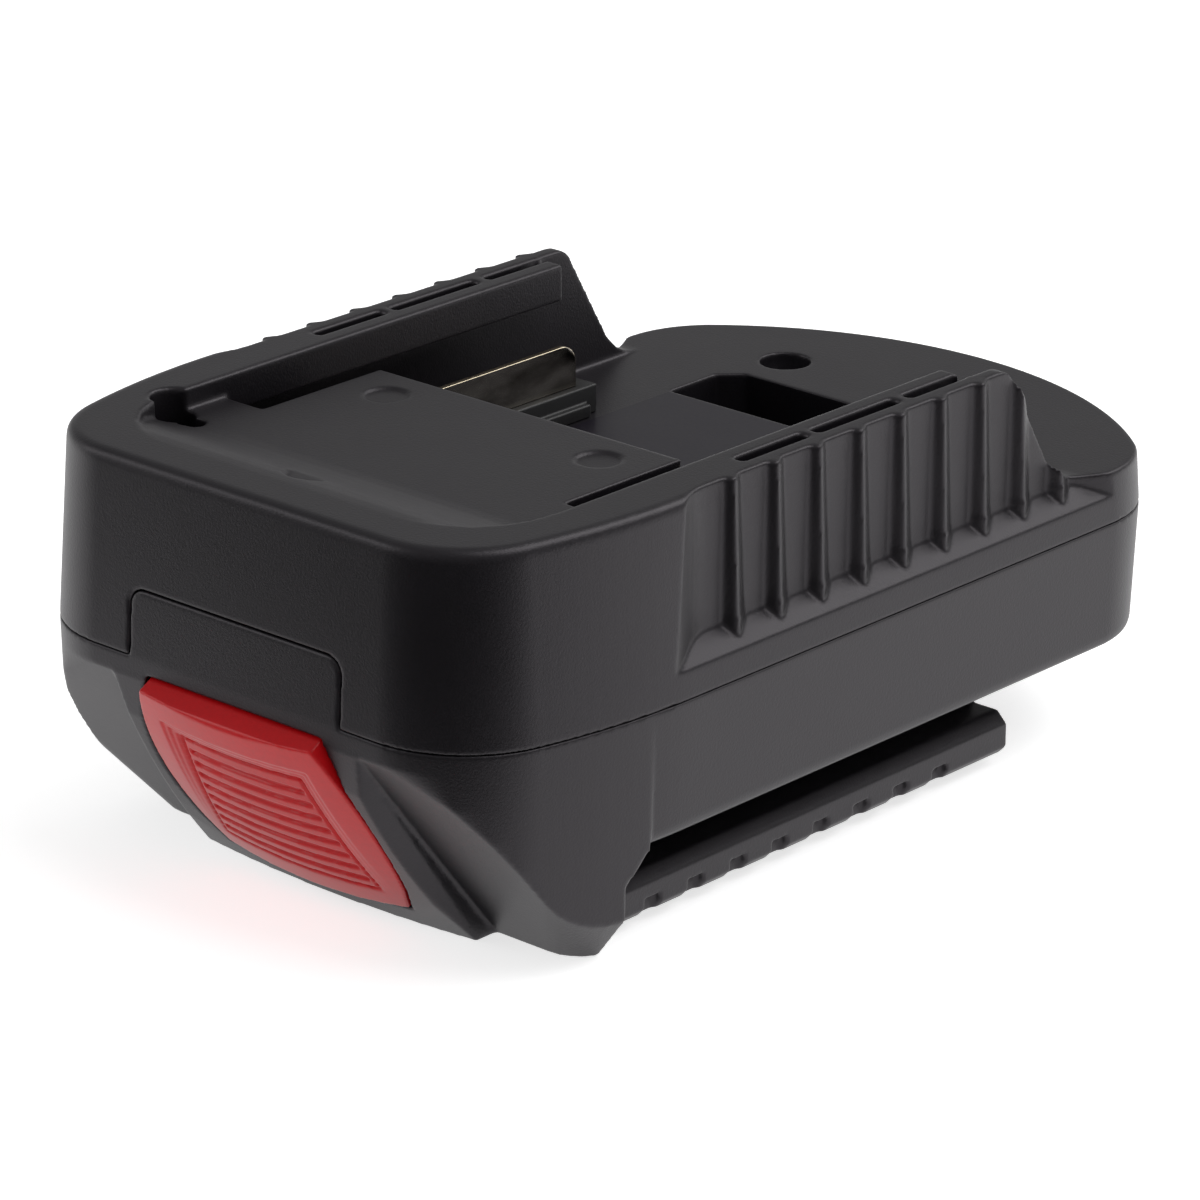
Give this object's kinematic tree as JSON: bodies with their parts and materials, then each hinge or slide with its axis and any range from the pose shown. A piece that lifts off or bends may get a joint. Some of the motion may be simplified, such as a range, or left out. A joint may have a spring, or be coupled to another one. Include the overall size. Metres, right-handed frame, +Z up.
{
  "type": "tool battery adapter",
  "caption": "Slim two-shell adapter with a slide-in battery channel and contact blades on top, notched tool rails underneath and a red sprung release button on the sloped front.",
  "frame": {"origin": "under the middle of the bounding box, on the plane of the foot", "axes": "+Z up towards the battery channel, -Y towards the release button, +X to the right seen from the button end"},
  "size_m": [0.075, 0.129, 0.0499],
  "materials": {
    "shell_black": "spark-eroded moulded glass-filled nylon, near black",
    "button_red": "smooth moulded red plastic, satin",
    "inner_black": "moulded black insulating plastic",
    "spring_steel": "drawn spring wire",
    "contact_nickel": "nickel-plated stamped brass, satin",
    "clip_bronze": "tin-plated spring bronze",
    "board_green": "glass-epoxy board with solder mask",
    "component_black": "moulded epoxy",
    "capacitor_sleeve": "aluminium can in a dark sleeve",
    "fuse_amber": "moulded fuse body",
    "resistor_beige": "lacquered resistor body",
    "screw_steel": "zinc-plated steel",
    "label_film": "dark polyester label film, bare"
  },
  "bodies": {
    "housing": {"upper_shell": "shell_black", "lower_shell": "shell_black", "latch_spring_left": "spring_steel", "latch_spring_right": "spring_steel", "spring_bracket": "inner_black", "contact_carrier_left": "inner_black", "contact_carrier_right": "inner_black", "contact_blade_positive": "contact_nickel", "contact_blade_negative": "contact_nickel", "terminal_block": "inner_black", "terminal_clip_positive": "clip_bronze", "terminal_clip_negative": "clip_bronze", "terminal_clip_signal": "clip_bronze", "circuit_board": "board_green", "protection_transistors": "component_black", "smoothing_capacitor": "capacitor_sleeve", "overload_fuse": "fuse_amber", "coding_resistor": "resistor_beige", "board_screws": "screw_steel", "housing_screws": "screw_steel", "rating_label": "label_film"},
    "release_latch": {"release_button": "button_red", "latch_slider": "inner_black"}
  },
  "joints": [
    {"name": "release_slide", "type": "slide", "parent": "housing", "child": "release_latch", "axis": [0, 0.8722, 0.4891], "range_m": [0, 0.004], "stiffness_N_per_m": 1500, "springref_m": -0.004, "deforming": ["latch_spring_left", "latch_spring_right"]}
  ]
}
